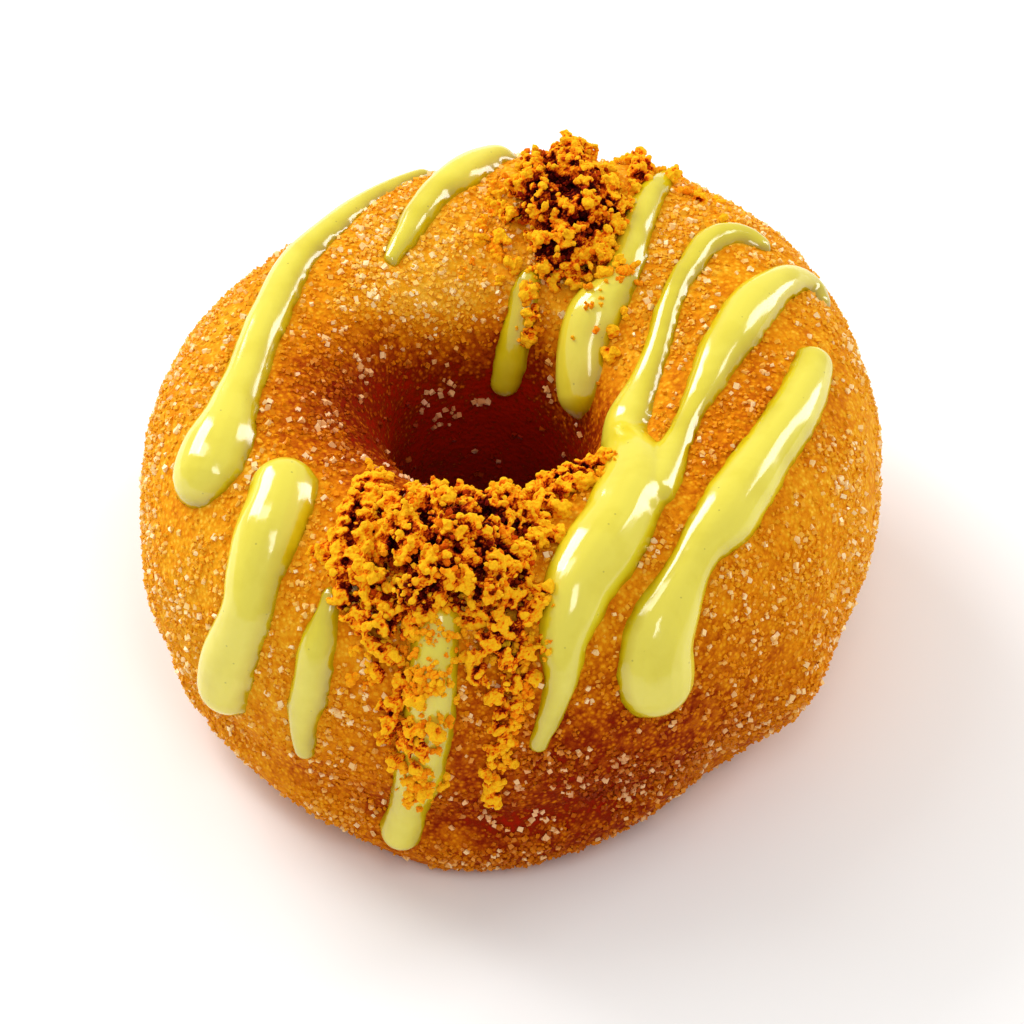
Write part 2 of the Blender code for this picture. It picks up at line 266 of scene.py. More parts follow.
class Paint:
    """A Principled material, given its sockets in small letters, and short calls that add nodes to it."""

    def __init__(self, name, **finish):
        self.material = bpy.data.materials.new(name)
        self.material.use_nodes = True
        self.nodes = self.material.node_tree.nodes
        self.links = self.material.node_tree.links
        self.shader = self.nodes["Principled BSDF"]
        for name, value in finish.items():
            socket = name.replace("_", " ").title().replace("Ior", "IOR")
            self.shader.inputs[socket].default_value = value
        self.place = self.nodes.new("ShaderNodeTexCoord").outputs["Object"]

    def node(self, kind, settings=None, **inputs):
        """A new node with its settings and with values or other nodes' sockets as its inputs."""
        made = self.nodes.new("ShaderNode" + kind)
        for key, value in (settings or {}).items():
            setattr(made, key, value)
        for key, value in inputs.items():
            self.put(made.inputs[key.replace("_", " ")], value)
        return made

    def put(self, socket, value):
        """Link a socket to another one, or set it to a value."""
        if isinstance(value, bpy.types.NodeSocket):
            self.links.new(value, socket)
        else:
            socket.default_value = value

    def noise(self, size, detail=3.0, roughness=0.5):
        """A noise pattern whose blots are about size metres across."""
        made = self.node("TexNoise", Vector=self.place, Scale=1 / size, Detail=detail, Roughness=roughness)
        return made.outputs["Fac"]

    def cells(self, size):
        """The distance from the middle of cells about size metres across."""
        return self.node("TexVoronoi", Vector=self.place, Scale=1 / size).outputs["Distance"]

    def attribute(self, name):
        """A value that the piece's points carry."""
        return self.node("Attribute", {"attribute_name": name}).outputs["Fac"]

    def spread(self, value, low, high, to_low=0.0, to_high=1.0):
        """value from low..high to to_low..to_high, kept inside."""
        made = self.node("MapRange", {"clamp": True}, Value=value)
        for key, number in (("From Min", low), ("From Max", high), ("To Min", to_low), ("To Max", to_high)):
            made.inputs[key].default_value = number
        return made.outputs["Result"]

    def math(self, operation, first, second):
        made = self.nodes.new("ShaderNodeMath")
        made.operation = operation
        self.put(made.inputs[0], first)
        self.put(made.inputs[1], second)
        return made.outputs[0]

    def ramp(self, value, *stops):
        """A colour ramp of (position, colour) stops."""
        made = self.node("ValToRGB", Fac=value)
        ramp = made.color_ramp
        while len(ramp.elements) < len(stops):
            ramp.elements.new(0.5)
        for element, (position, colour) in zip(ramp.elements, stops):
            element.position = position
            element.color = (*colour, 1.0)
        return made.outputs["Color"]

    def mix(self, amount, first, second):
        """Two colours, or colour sockets, mixed."""
        made = self.nodes.new("ShaderNodeMix")
        made.data_type = "RGBA"
        for key, value in ((0, amount), (6, first), (7, second)):
            if isinstance(value, tuple):
                value = (*value, 1.0)
            self.put(made.inputs[key], value)
        return made.outputs[2]

    def colour(self, socket):
        """Paint with what a colour socket gives."""
        self.links.new(socket, self.shader.inputs["Base Color"])

    def bump(self, height, depth):
        """Relief of that depth in metres; calls add to each other."""
        made = self.node("Bump", Height=height, Distance=depth, Strength=1.0)
        normal = self.shader.inputs["Normal"]
        if normal.is_linked:
            self.links.new(normal.links[0].from_socket, made.inputs["Normal"])
        self.links.new(made.outputs["Normal"], normal)


def crust_colour(paint, level):
    """Fried dough from golden at 0 to dark brown at 1 and a lighter deep red-brown at the darkest, painted
    light deep in the hole.
    """
    return paint.ramp(
        paint.math("DIVIDE", level, DARKEST),
        (0.00, (0.93, 0.53, 0.050)),
        (0.18, (0.83, 0.38, 0.012)),
        (0.375, (0.73, 0.24, 0.003)),
        (0.54, (0.56, 0.138, 0.0015)),
        (0.70, (0.36, 0.050, 0.0008)),
        (0.83, (0.20, 0.012, 0.0005)),
        # lighter again at the very darkest: painted light deep in the hole
        (1.00, (0.33, 0.009, 0.0005)))


def crust_finish():
    """Fried dough: golden on the crest, red-brown by the hole and low down from browning and painted shade,
    with a fine sugary grain.
    """
    paint = Paint("fried_crust_finish", roughness=0.6, specular_ior_level=0.02)
    # browning together with painted shade and painted light, carried by the crust's points
    browning_and_shading = paint.attribute("browning_and_shading")
    blotch = paint.spread(paint.noise(4.5 * MM, 5.0, 0.6), 0.3, 0.7, -0.12, 0.12)
    freckle = paint.spread(paint.noise(0.9 * MM, 4.0, 0.7), 0.3, 0.7, -0.19, 0.19)
    grain = paint.spread(paint.cells(0.45 * MM), 0.10, 0.50, -0.18, 0.12)
    level = paint.math("ADD", paint.math("ADD", browning_and_shading, blotch), paint.math("ADD", freckle, grain))
    paint.colour(crust_colour(paint, level))
    paint.bump(paint.noise(0.5 * MM, 4.0, 0.65), 0.12 * MM)
    paint.bump(paint.cells(0.40 * MM), 0.08 * MM)
    return paint.material


def sugar_finish(name, shine):
    """Sugar: thin grains show the crust under them, its painted shade included, thick ones are nearly white.
    """
    paint = Paint(name + "_finish", roughness=0.3, specular_ior_level=shine)
    browning_and_shading = paint.attribute("browning_and_shading")
    tone_and_shade = paint.attribute("tone_and_shade")
    under = crust_colour(paint, paint.math("SUBTRACT", browning_and_shading, paint.math("MULTIPLY", tone_and_shade, 0.5)))
    pale = paint.mix(browning_and_shading, (1.0, 0.82, 0.42), (0.86, 0.52, 0.26))
    thick = paint.math("SUBTRACT", tone_and_shade, paint.math("MULTIPLY", browning_and_shading, 0.25))
    paint.colour(paint.mix(paint.spread(thick, 0.20, 0.85, 0.0, 0.95), under, pale))
    return paint.material


def sauce_finish():
    """Thick pale green sauce: glossy, palest where it is thickest and darker towards its thin edges, partly
    the crust showing through and partly painted shade on the flanks, with fine dark specks.
    """
    paint = Paint("green_sauce_finish", roughness=0.13, ior=1.8, specular_ior_level=0.5)
    cloud = paint.spread(paint.noise(3.0 * MM, 3.0), 0.3, 0.7, -0.18, 0.18)
    thick = paint.math("ADD", paint.spread(paint.attribute("thickness"), 0.1, 1.3), cloud)
    # darker towards the thin edges: crust showing through thin sauce, and painted shade on the flanks
    body = paint.ramp(
        thick,
        (0.00, (0.42, 0.31, 0.001)),
        (0.30, (0.57, 0.46, 0.003)),
        (0.60, (0.67, 0.56, 0.010)),
        (1.00, (0.77, 0.67, 0.045)))
    speck = paint.spread(paint.cells(1.3 * MM), 0.05, 0.08, 1.0, 0.0)
    paint.colour(paint.mix(paint.math("MULTIPLY", speck, 0.5), body, (0.26, 0.22, 0.02)))
    paint.bump(paint.noise(3.0 * MM, 1.0), 0.03 * MM)
    return paint.material


def crumb_finish():
    """Dry biscuit crumb: orange-brown, rough, each crumb a little different, with painted shade dark deep in
    the heap and in its gaps.
    """
    paint = Paint("biscuit_crumb_finish", roughness=0.9, specular_ior_level=0.08)
    grain = paint.spread(paint.noise(0.22 * MM, 3.0, 0.6), 0.3, 0.7, -0.10, 0.10)
    # the ramp's dark end is painted shade, for the gaps and the depth of the heap
    paint.colour(paint.ramp(
        paint.math("ADD", paint.attribute("tone_and_shade"), grain),
        (0.00, (0.04, 0.0005, 0.0002)),
        (0.25, (0.23, 0.006, 0.0003)),
        (0.50, (0.64, 0.070, 0.0006)),
        (0.75, (0.98, 0.250, 0.002)),
        (1.00, (1.00, 0.540, 0.009))))
    paint.bump(paint.noise(0.22 * MM, 4.0, 0.7), 0.12 * MM)
    return paint.material


# ================================================================ shapes on the ring

def power(value, exponent):
    """value to an exponent, keeping its sign."""
    return np.sign(value) * np.abs(value) ** exponent


def turned(angle, other):
    """Degrees from other to angle the short way round."""
    return (angle - other + 180) % 360 - 180


def stretch(around, middle, reach):
    """1 in the middle of a stretch of the ring, falling softly to 0 on both sides."""
    return np.exp(-(turned(around, middle) / reach) ** 2)


def patch(around, over, middle_around, middle_over, reach_around, reach_over):
    """1 in the middle of a patch of the dough, falling softly to 0 round it."""
    along = turned(around, middle_around) / reach_around
    across = turned(over, middle_over) / reach_over
    return np.exp(-along ** 2 - across ** 2)


def hole_radius(turn):
    """The hole's radius at an angle in radians, about the ring's own axis."""
    return HOLE_DIAMETER / 2 + HOLE_SHIFT[0] * np.cos(turn) + HOLE_SHIFT[1] * np.sin(turn)


def round_the_axis(around, over):
    """Points of the dough's surface, as arrays, with the ring drawn about the Z axis."""
    around, over = np.asarray(around, float), np.asarray(over, float)
    turn, tip = np.radians(around), np.radians(over)
    oval = OVAL * np.cos(2 * np.radians(around - OVAL_TURN))
    lobes = LOBES * np.cos(3 * np.radians(around - LOBES_TURN))
    outer = RING_DIAMETER / 2 * (1 + oval + lobes)
    inner = hole_radius(turn)
    middle, half = (outer + inner) / 2, (outer - inner) / 2
    fold = CREASE_DEPTH * np.exp(-((over - CREASE_OVER) / CREASE_WIDTH) ** 2)
    height = np.where(np.sin(tip) > 0, CREST_HEIGHT, ROUND_DEPTH)
    swell = 0.0
    for *place_and_reach, high in SWELLINGS:
        swell = swell + high * patch(around, over, *place_and_reach)
    radius = middle + (half - fold + swell) * power(np.cos(tip), 2 / SECTION_POWER)
    rise = np.maximum((height + swell) * power(np.sin(tip), 2 / SECTION_POWER), -FLAT_DEPTH)
    return np.stack([radius * np.cos(turn), radius * np.sin(turn), FLAT_DEPTH + rise], -1)


def ring_place():
    """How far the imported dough's box lies from the box of the ring drawn about the Z axis."""
    around, over = np.meshgrid(np.arange(0, 360, 2.0), np.arange(-90, 91, 5.0))
    drawn = round_the_axis(around.ravel(), over.ravel())
    low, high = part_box("doughnut")
    shift = (np.array(low) + np.array(high) - drawn.min(0) - drawn.max(0)) / 2
    return np.array([shift[0], shift[1], 0.0])


RING_PLACE = ring_place()


def on_ring(around, over):
    """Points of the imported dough's surface at (around, over)."""
    return round_the_axis(around, over) + RING_PLACE


def outward(around, over):
    """The direction straight out of the dough at (around, over)."""
    step = 1.0
    along = on_ring(np.asarray(around) + step, over) - on_ring(np.asarray(around) - step, over)
    across = on_ring(around, np.asarray(over) + step) - on_ring(around, np.asarray(over) - step)
    way = np.cross(along, across)
    return way / np.linalg.norm(way, axis=-1, keepdims=True)


def new_piece(name, mesh, material, smooth=True):
    """A finished piece: it rides with the doughnut."""
    mesh.name = name
    mesh.materials.clear()
    mesh.materials.append(material)
    if smooth:
        mesh.shade_smooth()
    piece = bpy.data.objects.new(name, mesh)
    bpy.context.scene.collection.objects.link(piece)
    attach(piece, "root")
    return piece


def points_of(mesh):
    """A mesh's points, one to a row."""
    places = np.zeros(len(mesh.vertices) * 3)
    mesh.vertices.foreach_get("co", places)
    return places.reshape(-1, 3)


def normals_of(mesh):
    """The normals at a mesh's points, one to a row."""
    normals = np.zeros(len(mesh.vertices) * 3)
    mesh.vertices.foreach_get("normal", normals)
    return normals.reshape(-1, 3)


def set_points(mesh, places):
    """Move a mesh's points to these places."""
    mesh.vertices.foreach_set("co", np.asarray(places, float).ravel())
    mesh.update()


def set_attribute(mesh, name, values):
    """Give a mesh's points a value each, which its material reads."""
    attribute = mesh.attributes.new(name, "FLOAT", "POINT")
    attribute.data.foreach_set("value", np.asarray(values, np.float32))


def in_order(shape, name):
    """A bmesh as a mesh whose points, faces and corners are in the same order in each run."""
    order = sorted(shape.verts, key=lambda vertex: vertex.co[:])
    for rank, vertex in enumerate(order):
        vertex.index = rank
    faces = []
    for face in shape.faces:
        corners = [vertex.index for vertex in face.verts]
        first = corners.index(min(corners))
        faces.append(corners[first:] + corners[:first])
    mesh = bpy.data.meshes.new(name)
    mesh.from_pydata([vertex.co[:] for vertex in order], [], sorted(faces))
    shape.free()
    return mesh


def lumps(places, size, seed):
    """Smooth noise between -1 and 1 at each place, with lumps of about that size."""
    shift = Vector((seed, seed * 0.37, -seed))
    return np.array([noise.noise(Vector(place) / size + shift) for place in places])


def relief(places, layers):
    """How far layers of (size, depth, seed) push each place out."""
    return sum(depth * lumps(places, size, seed) for size, depth, seed in layers)


# ================================================================ crust

def crust_mesh():
    """The dough's skin: a round section spun into a ring, then shaped and given its swells and pits."""
    shape = bmesh.new()
    section = Matrix.Translation((2, 0, 0)) @ Matrix.Rotation(math.pi / 2, 4, "X")
    bmesh.ops.create_circle(shape, segments=SECTION_SIDES, radius=1.0, matrix=section)
    bmesh.ops.spin(
        shape, geom=shape.verts[:] + shape.edges[:], cent=(0, 0, 0), axis=(0, 0, 1),
        angle=2 * math.pi, steps=RING_STEPS, use_merge=True)
    bmesh.ops.remove_doubles(shape, verts=shape.verts, dist=0.0001)
    bmesh.ops.recalc_face_normals(shape, faces=shape.faces)
    mesh = in_order(shape, "crust")
    drawn = points_of(mesh)
    around = np.degrees(np.arctan2(drawn[:, 1], drawn[:, 0]))
    over = np.degrees(np.arctan2(drawn[:, 2], np.hypot(drawn[:, 0], drawn[:, 1]) - 2))
    places = on_ring(around, over)
    pushed = np.where(places[:, 2] < FOOT, 0.0, relief(places, CRUST_RELIEF))
    places = places + outward(around, over) * pushed[:, None]
    places[:, 2] = np.maximum(places[:, 2], 0.0)
    set_points(mesh, places)
    set_attribute(mesh, "browning_and_shading", browning_and_shading(around, over))
    return mesh


def browning_and_shading(around, over):
    """How dark the crust is painted: golden on top; browner frying and painted shade make it darkest in the
    hole and low in front, with patches of painted shade and painted light.
    """
    over = np.where(over < -90, over + 360, over)
    start = HOLE_DARKENING_START + 26 * np.cos(np.radians(around - 55))
    for middle, reach, shift in START_SHIFTS:
        start = start + shift * stretch(around, middle, reach)
    # browner frying and painted shade towards the hole
    hole = HOLE_BROWN_AND_SHADE + 0.17 * np.cos(np.radians(around - 80))
    hole = hole * np.clip((over - start) / 48, 0, 1) ** 0.8
    # painted shade low down, most towards the front
    below = np.clip((10 - over) / 80, 0, 1) * (0.12 + 0.10 * np.cos(np.radians(around - 300)))
    # painted shade low in front
    front = FRONT_SHADE * stretch(around, FRONT, FRONT_REACH) * np.exp(-((over + 10) / 48) ** 2)
    rear = REAR_BROWN * stretch(around, REAR, REAR_REACH) * np.clip((75 - over) / 60, 0, 1)
    crease = 0.07 * np.exp(-((over - CREASE_OVER) / 6) ** 2) * (1 + np.sin(np.radians(3 * around + 40)))
    brown = GOLDEN + hole + below + front + rear + crease
    # patches of painted shade and painted light
    for *place_and_reach, darker in SHADE_AND_LIGHT_PATCHES:
        brown = brown + darker * patch(around, over, *place_and_reach)
    return np.clip(brown, 0, DARKEST)


# ================================================================ sugar

def surface_places(mesh, count, rng, weigh):
    """Random places on a mesh with their normals, more of them where weigh(places, normals) is higher."""
    mesh.calc_loop_triangles()
    corners = np.zeros(len(mesh.loop_triangles) * 3, np.int32)
    mesh.loop_triangles.foreach_get("vertices", corners)
    corner = points_of(mesh)[corners.reshape(-1, 3)]
    cross = np.cross(corner[:, 1] - corner[:, 0], corner[:, 2] - corner[:, 0])
    area = np.linalg.norm(cross, axis=1)
    normal = cross / np.maximum(area, 1e-12)[:, None]
    weight = area * weigh(corner.mean(1), normal)
    chosen = rng.choice(len(area), count, p=weight / weight.sum())
    first, second = np.sqrt(rng.random(count)), rng.random(count)
    share = np.stack([1 - first, first * (1 - second), first * second], 1)
    return (corner[chosen] * share[:, :, None]).sum(1), normal[chosen]


def random_turns(count, rng):
    """Rotation matrices that turn a thing any way round."""
    w, x, y, z = (rng.normal(size=(4, count)) + 1e-9)
    length = np.sqrt(w * w + x * x + y * y + z * z)
    w, x, y, z = w / length, x / length, y / length, z / length
    return np.stack([
        1 - 2 * (y * y + z * z), 2 * (x * y - w * z), 2 * (x * z + w * y),
        2 * (x * y + w * z), 1 - 2 * (x * x + z * z), 2 * (y * z - w * x),
        2 * (x * z - w * y), 2 * (y * z + w * x), 1 - 2 * (x * x + y * y)], 1).reshape(-1, 3, 3)


def strewn(name, kinds, places, sizes, values, rng):
    """One mesh of many small things: turned and sized copies of the kinds, each with values of its own."""
    turns = random_turns(len(places), rng)
    kind_of = rng.integers(len(kinds), size=len(places))
    points, faces, order, start = [], [], [], 0
    for number, (corners, sides) in enumerate(kinds):
        mine = np.flatnonzero(kind_of == number)
        copies = np.einsum("nij,vj->nvi", turns[mine], corners) * sizes[mine, None, None] + places[mine, None]
        points.append(copies.reshape(-1, 3))
        offsets = start + np.arange(len(mine)) * len(corners)
        faces.append((sides[None] + offsets[:, None, None]).reshape(-1, sides.shape[1]))
        order.append(np.repeat(mine, len(corners)))
        start += len(mine) * len(corners)
    mesh = bpy.data.meshes.new(name)
    mesh.from_pydata(np.concatenate(points).tolist(), [], np.concatenate(faces).tolist())
    for key, each in values.items():
        set_attribute(mesh, key, each[np.concatenate(order)])
    return mesh


def shape_arrays(shape):
    """A bmesh's points and its faces, all with the same number of corners, as arrays."""
    points = np.array([vertex.co[:] for vertex in shape.verts])
    faces = np.array([[vertex.index for vertex in face.verts] for face in shape.faces])
    shape.free()
    return points, faces


def crystal_kinds(rng, kinds=8):
    """Sugar crystals: small blocks with uneven corners, one unit across."""
    made = []
    for _ in range(kinds):
        shape = bmesh.new()
        bmesh.ops.create_cube(shape, size=1.0)
        sides = Vector(rng.uniform(0.65, 1.15, 3))
        for vertex in shape.verts:
            vertex.co = vertex.co * sides + Vector(rng.uniform(-0.13, 0.13, 3))
        made.append(shape_arrays(shape))
    return made


def angles_of(places):
    """The (around, over) of places near the dough's surface, well enough to colour them by."""
    flat = np.hypot(places[:, 0], places[:, 1])
    around = np.degrees(np.arctan2(places[:, 1], places[:, 0]))
    outer = RING_DIAMETER / 2
    inner = hole_radius(np.radians(around))
    across = (flat * 2 - outer - inner) / (outer - inner)
    over = np.degrees(np.arctan2((places[:, 2] - FLAT_DEPTH) / CREST_HEIGHT, across))
    return around, np.where(over < -90, over + 360, over)


def clear_of(places, tree, reach):
    """Which places lie outside a closed skin and at least that far from it."""
    kept = []
    for place in places:
        near, way, _, _ = tree.find_nearest(Vector(place), 3 * MM)
        kept.append(near is None or (Vector(place) - near).dot(way) > reach)
    return np.array(kept)


def sugar_cover(places, normals):
    """How thickly sugar sticks to the crust: in drifts, little of it in the hole and none at the foot."""
    around, over = angles_of(places)
    *place_and_reach, more = SUGAR_PATCH
    weight = np.clip(1.0 + 2.0 * lumps(places, 5 * MM, 0.0), 0.12, 3.0)
    weight = weight + more * patch(around, over, *place_and_reach)
    weight = weight * np.clip((140 + 14 * np.cos(np.radians(around - 110)) - over) / 28, 0.08, 1)
    weight = np.where(normals[:, 2] < -0.6, 0.45 * weight, weight)
    return np.where(places[:, 2] < SUGAR_FOOT, 0.0, weight)


def clumped_crystals(crust_tree, rng):
    """Places and normals on the crust of the crystals that stick together in clumps."""
    places = np.repeat(on_ring(*np.array(SUGAR_CLUMPS).T), CRYSTALS_IN_CLUMP, axis=0)
    places = places + rng.normal(0, 0.45 * MM, places.shape)
    found = [crust_tree.find_nearest(Vector(place)) for place in places]
    return [hit[0] for hit in found], [hit[1] for hit in found]


def sugar(crust, crust_tree, sauce_tree, heap_tree):
    """The sugar the doughnut was rolled in: dust, golden grains and a few large white crystals."""
    rng = np.random.default_rng(11)
    for name, (count, small, large, dull, pale, shine) in SUGAR.items():
        places, normals = surface_places(crust, count, rng, sugar_cover)
        if name == "sugar_crystals":
            more_places, more_normals = clumped_crystals(crust_tree, rng)
            places = np.concatenate([places, more_places])
            normals = np.concatenate([normals, more_normals])
        kept = clear_of(places, sauce_tree, 0.12 * MM)
        kept &= clear_of(places, heap_tree, 0.0)
        places, normals = places[kept], normals[kept]
        sizes = rng.uniform(small, large, len(places))
        tones = dull + (pale - dull) * rng.random(len(places)) ** 1.5
        # each grain takes the crust's browning and painted shade where it lies
        values = {"tone_and_shade": tones, "browning_and_shading": browning_and_shading(*angles_of(places))}
        places = places + normals * (sizes * 0.12)[:, None]
        mesh = strewn(name, crystal_kinds(rng), places, sizes, values, rng)
        new_piece(name, mesh, sugar_finish(name, shine), smooth=False)


# ================================================================ sauce

def smooth_route(points, step):
    """(around, over, width) close together on a smooth curve through a stroke's own points."""
    points = np.array(points, float)
    ends = np.concatenate([points[:1], points, points[-1:]])
    route = []
    for a, b, c, d in zip(ends, ends[1:], ends[2:], ends[3:]):
        length = np.linalg.norm(on_ring(b[0], b[1]) - on_ring(c[0], c[1]))
        t = np.linspace(0, 1, max(2, round(length / step)), endpoint=False)[:, None]
        route.append(0.5 * (2 * b + (c - a) * t + (2 * a - 5 * b + 4 * c - d) * t ** 2
                            + (3 * b - a - 3 * c + d) * t ** 3))
    return np.concatenate([*route, points[-1:]])


def without_tips(route):
    """The route from half its width after one tip to half its width before the other."""
    steps = np.linalg.norm(np.diff(on_ring(route[:, 0], route[:, 1]), axis=0), axis=1)
    travelled = np.concatenate([[0.0], np.cumsum(steps)])
    first = route[0, 2] * MM / 2
    last = travelled[-1] - route[-1, 2] * MM / 2
    return route[(travelled > first) & (travelled < last)]


def stroke_sections(points, seed):
    """Middles and radii of a stroke's round sections, sunk in the dough so that only a low cap shows."""
    route = without_tips(smooth_route(points, SAUCE_STEP))
    middle = on_ring(route[:, 0], route[:, 1])
    wide = route[:, 2] * MM * (1 + 0.06 * lumps(middle, 4.0 * MM, seed))
    high = wide * SAUCE_RISE
    radius = (wide ** 2 / 4 + high ** 2) / (2 * high)
    middle = middle - outward(route[:, 0], route[:, 1]) * (radius - high)[:, None]
    sections = list(zip(middle, radius))
    for _ in range(2):
        (last, size), (before, _) = sections[-1], sections[-2]
        ahead = (last - before) / np.linalg.norm(last - before)
        for share in TIP_SHARES:
            sections.append((last + ahead * size * share, size * math.sqrt(1 - share ** 2)))
        sections.reverse()
    return sections


def tube_through(sections):
    """A closed tube through round sections of (middle, radius)."""
    curve = bpy.data.curves.new("stroke", "CURVE")
    curve.dimensions = "3D"
    curve.bevel_depth = 1.0
    curve.bevel_resolution = 8
    curve.use_fill_caps = True
    spline = curve.splines.new("POLY")
    spline.points.add(len(sections) - 1)
    for point, (place, size) in zip(spline.points, sections):
        point.co = (*place, 1.0)
        point.radius = size
    guide = bpy.data.objects.new("stroke", curve)
    bpy.context.scene.collection.objects.link(guide)
    bpy.context.view_layer.update()
    mesh = bpy.data.meshes.new_from_object(guide.evaluated_get(bpy.context.evaluated_depsgraph_get()))
    bpy.data.objects.remove(guide)
    return mesh


def remeshed(mesh, voxel, smoothing):
    """A mesh's overlapping parts as one smooth skin."""
    holder = bpy.data.objects.new("remeshing", mesh)
    bpy.context.scene.collection.objects.link(holder)
    skin = holder.modifiers.new("Remesh", "REMESH")
    skin.mode = "VOXEL"
    skin.voxel_size = voxel
    if smoothing:
        even = holder.modifiers.new("Smooth", "SMOOTH")
        even.factor = 0.5
        even.iterations = smoothing
    bpy.context.view_layer.update()
    made = bpy.data.meshes.new_from_object(holder.evaluated_get(bpy.context.evaluated_depsgraph_get()))
    bpy.data.objects.remove(holder)
    return made


def tree_of(*meshes):
    """What finds the nearest point of some meshes."""
    shape = bmesh.new()
    for mesh in meshes:
        shape.from_mesh(mesh)
    tree = BVHTree.FromBMesh(shape)
    shape.free()
    return tree


def sauce_stroke(name, branches, seed, crust_tree):
    """A stroke and its branches as one skin, bedded in the crust and a little uneven along its edge."""
    joined = bmesh.new()
    for part, branch in enumerate(branches):
        tube = tube_through(stroke_sections(branch, seed + part))
        joined.from_mesh(tube)
        bpy.data.meshes.remove(tube)
    bmesh.ops.remove_doubles(joined, verts=joined.verts, dist=0.001 * MM)
    mesh = remeshed(in_order(joined, name), SAUCE_VOXEL, 6)
    places = points_of(mesh)
    thick = np.zeros(len(places))
    for index, place in enumerate(places):
        near, way, _, _ = crust_tree.find_nearest(Vector(place))
        thick[index] = (Vector(place) - near).dot(way)
        if thick[index] < -SAUCE_BED:
            places[index] = near - way * SAUCE_BED
    edge = np.clip(1.1 - thick / SAUCE_EDGE, 0, 1) * (thick > -SAUCE_BED)
    uneven = relief(places, SAUCE_EDGE_RELIEF) * edge
    set_points(mesh, places + normals_of(mesh) * uneven[:, None])
    set_attribute(mesh, "thickness", thick / MM)
    return mesh


def sauce(crust_tree):
    """Every stroke of sauce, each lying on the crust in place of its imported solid."""
    finish = sauce_finish()
    skins = []
    for number, (name, branches) in enumerate(SAUCE.items()):
        mesh = sauce_stroke(name, branches, number * 5.3, crust_tree)
        piece = new_piece(name + "_stroke", mesh, finish)
        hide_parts(name)
        skins.append(mesh)
    return tree_of(*skins)


# ================================================================ crumb

def grain_kinds(rng, kinds=12):
    """Fine crumb grains: angular bits about one unit across."""
    made = []
    for _ in range(kinds):
        shape = bmesh.new()
        bmesh.ops.create_icosphere(shape, subdivisions=1, radius=0.5)
        sides = Vector(rng.uniform(0.7, 1.2, 3))
        for vertex in shape.verts:
            vertex.co = vertex.co * rng.uniform(0.75, 1.2) * sides
        made.append(shape_arrays(shape))
    return made


def crumb_kinds(rng, kinds=10):
    """Loose crumbs: a few angular grains stuck together, about one unit across."""
    grains = grain_kinds(rng)
    made = []
    for _ in range(kinds):
        points, sides = [], []
        for number in range(GRAINS_IN_CRUMB):
            corners, faces = grains[rng.integers(len(grains))]
            grain = corners @ random_turns(1, rng)[0].T
            points.append(grain * rng.uniform(0.45, 0.75) + rng.normal(0, 0.18, 3))
            sides.append(faces + number * len(corners))
        made.append((np.concatenate(points), np.concatenate(sides)))
    return made


def joined_heap(name):
    """A packed heap as one closed mesh."""
    shape = bmesh.new()
    shape.from_mesh(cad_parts[name].data)
    bmesh.ops.remove_doubles(shape, verts=shape.verts, dist=0.001 * MM)
    return in_order(shape, name)


def spaced(places, gap):
    """The numbers of places that lie at least that far from those chosen before them."""
    chosen = []
    for number, place in enumerate(places):
        if all(np.linalg.norm(place - places[other]) > gap for other in chosen):
            chosen.append(number)
    return chosen


def lowered(heap, crust_tree, depth):
    """A packed heap sunk by that depth, though not below the crust: what shows between its clumps."""
    mesh = remeshed(heap.copy(), PACKED_VOXEL, 2)
    places = points_of(mesh)
    rough = relief(places, PACKED_RELIEF)
    for index, place in enumerate(places):
        near, way, _, _ = crust_tree.find_nearest(Vector(place))
        height = (Vector(place) - near).dot(way)
        if height > 0:
            places[index] = near + way * max(height - depth + rough[index], PACKED_LEAST)
    set_points(mesh, places)
    return mesh


def on_top(places, normals):
    """Weight for places on a heap's upper side."""
    return np.where(normals[:, 2] > -0.15, 1.0, 0.04)


def tree_of_points(places):
    """What finds the nearest of some places."""
    tree = KDTree(len(places))
    for number, place in enumerate(places):
        tree.insert(place, number)
    tree.balance()
    return tree


def nearest(mesh, places):
    """The number of a mesh's nearest point to each place."""
    tree = tree_of_points(points_of(mesh))
    return [tree.find(place)[1] for place in places]


def openness(mesh, rng, reach=1.6 * MM, looks=9):
    """How much of what is round each point of a mesh is open, from 0 deep in a gap to 1 in the open."""
    tree = tree_of(mesh)
    places, normals = points_of(mesh), normals_of(mesh)
    blocked = np.zeros(len(places))
    for _ in range(looks):
        ways = rng.normal(size=(len(places), 3))
        ways = ways / np.linalg.norm(ways, axis=1, keepdims=True) + normals * 1.001
        starts = places + normals * 0.04 * MM
        blocked += [tree.ray_cast(start, way, reach)[0] is not None for start, way in zip(starts, ways)]
    return 1 - blocked / looks


def grains_in_clumps(centres, reach, inside, rng):
    """Places and sizes of the grains that clumps are made of, none of them far out of the skin given."""
    amount = (CLUMP_GRAINS * (reach / CLUMP_SIZE[0]) ** 2).astype(int) + 2
    owner = np.repeat(np.arange(len(centres)), amount)
    ways = rng.normal(size=(len(owner), 3))
    ways /= np.linalg.norm(ways, axis=1, keepdims=True)
    spots = centres[owner] + ways * (reach[owner] * 0.5 * rng.uniform(0.25, 0.95, len(owner)))[:, None]
    sizes = GRAIN_SIZE[0] + (GRAIN_SIZE[1] - GRAIN_SIZE[0]) * rng.random(len(spots)) ** 1.5
    if inside:
        kept = ~clear_of(spots, inside, HEAP_MARGIN)
        spots, sizes = spots[kept], sizes[kept]
    return spots, sizes


